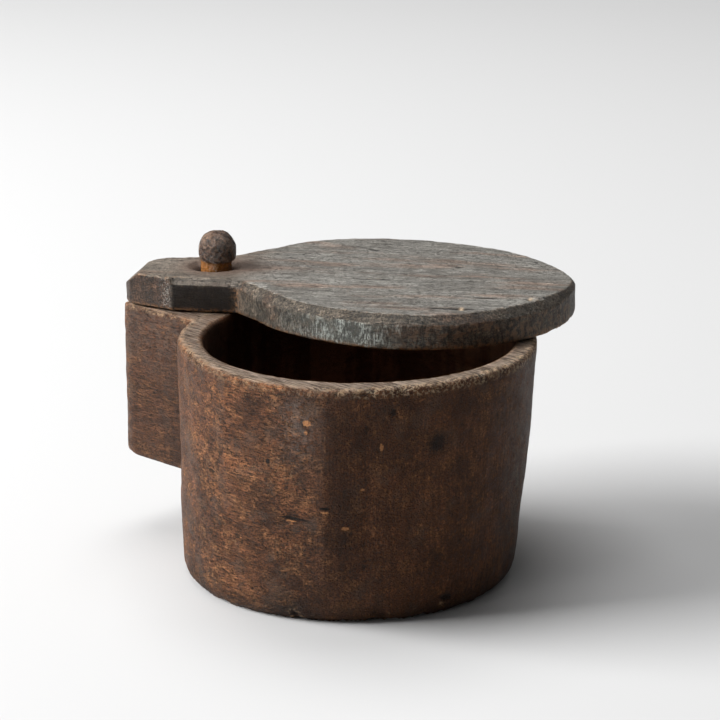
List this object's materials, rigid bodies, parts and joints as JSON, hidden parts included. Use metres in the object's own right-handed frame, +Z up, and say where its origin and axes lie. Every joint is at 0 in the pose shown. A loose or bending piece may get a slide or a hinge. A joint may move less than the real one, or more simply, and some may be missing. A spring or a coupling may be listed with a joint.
{
  "type": "spice box with swivel lid",
  "caption": "Hand-carved round wooden spice box with a lug on one side and a one-piece lid that swivels open on a wooden peg.",
  "frame": {"origin": "centre of the pot's base, on the surface it stands on", "axes": "+Z up, -X from the pot's centre out along the lug, +Y towards the side the lid swings open to"},
  "size_m": [0.1771, 0.1832, 0.1218],
  "materials": {
    "pot_wood": "aged dark brown, oiled by hands, satin",
    "lid_wood": "weathered grey-brown, dry satin",
    "peg_wood": "dark brown, worn satin"
  },
  "bodies": {
    "pot_body": {"pot": "pot_wood", "peg": "peg_wood"},
    "lid_body": {"lid": "lid_wood"}
  },
  "joints": [
    {"name": "lid_swivel", "type": "hinge", "parent": "pot_body", "child": "lid_body", "pos_m": [-0.0785, 0.0015, 0.093], "axis": [0, 0, 1], "continuous": true}
  ]
}
